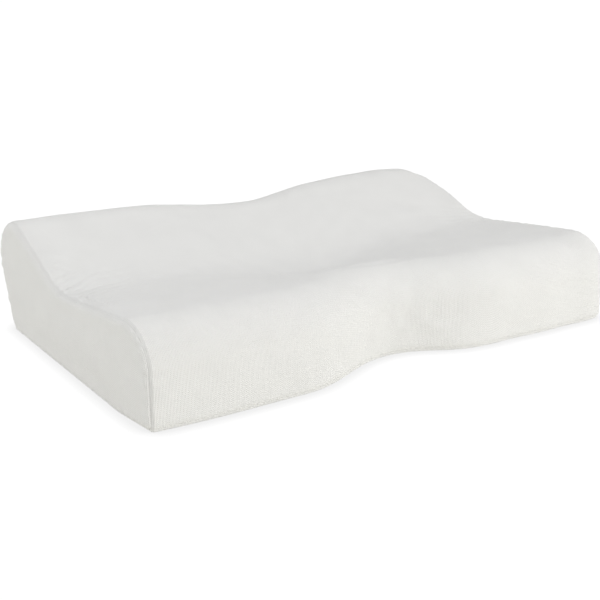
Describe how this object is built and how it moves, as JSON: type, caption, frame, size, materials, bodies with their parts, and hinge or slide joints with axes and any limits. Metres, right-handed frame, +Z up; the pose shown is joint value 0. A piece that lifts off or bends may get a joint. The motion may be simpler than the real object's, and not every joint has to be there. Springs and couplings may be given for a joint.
{
  "type": "contour neck pillow",
  "caption": "Contoured memory-foam neck pillow with a raised lobe along each long side, a dipped centre, a cut-out for the neck and a zipped knit cover.",
  "frame": {"origin": "centre of the bounding box in plan, on the flat underside", "axes": "+X along the pillow's length, -Y towards the user's neck and shoulders (the low lobe with the cut-out), +Y towards the high lobe and the zip, +Z up"},
  "size_m": [0.55, 0.3565, 0.1206],
  "materials": {
    "cover_knit": "white textured knit",
    "liner_jersey": "plain white jersey",
    "memory_foam": "open-cell pale cream foam, matt",
    "sewing_thread": "white polyester thread",
    "zip_tape": "white woven tape",
    "zip_nylon": "white nylon",
    "zip_metal": "white enamel on die-cast zinc",
    "label_satin": "blank white satin ribbon"
  },
  "bodies": {
    "pillow": {"foam_core": "memory_foam", "liner_sleeve": "liner_jersey", "liner_left_end": "liner_jersey", "liner_right_end": "liner_jersey", "cover_wrap_panel": "cover_knit", "cover_bottom_panel": "cover_knit", "cover_rear_band": "cover_knit", "cover_left_end": "cover_knit", "cover_right_end": "cover_knit", "left_overlock_seam": "sewing_thread", "right_overlock_seam": "sewing_thread", "bottom_overlock_seam": "sewing_thread", "zip_tape_upper": "zip_tape", "zip_tape_lower": "zip_tape", "zip_coil_upper": "zip_nylon", "zip_coil_lower": "zip_nylon", "zip_top_stops": "zip_nylon", "zip_bottom_stop": "zip_nylon", "zip_topstitch_upper": "sewing_thread", "zip_topstitch_lower": "sewing_thread", "care_label": "label_satin"},
    "zip_slider": {"zip_slider_body": "zip_metal"},
    "pull_tab": {"zip_pull_tab": "zip_metal"}
  },
  "joints": [
    {"name": "zip_slide", "type": "slide", "parent": "pillow", "child": "zip_slider", "axis": [-1, 0, 0], "range_m": [0, 0.458]},
    {"name": "zip_pull_hinge", "type": "hinge", "parent": "zip_slider", "child": "pull_tab", "pos_m": [0.2292, 0.16807, 0.0298], "axis": [0, -0.342, -0.9397], "range_deg": [0, 175]}
  ]
}
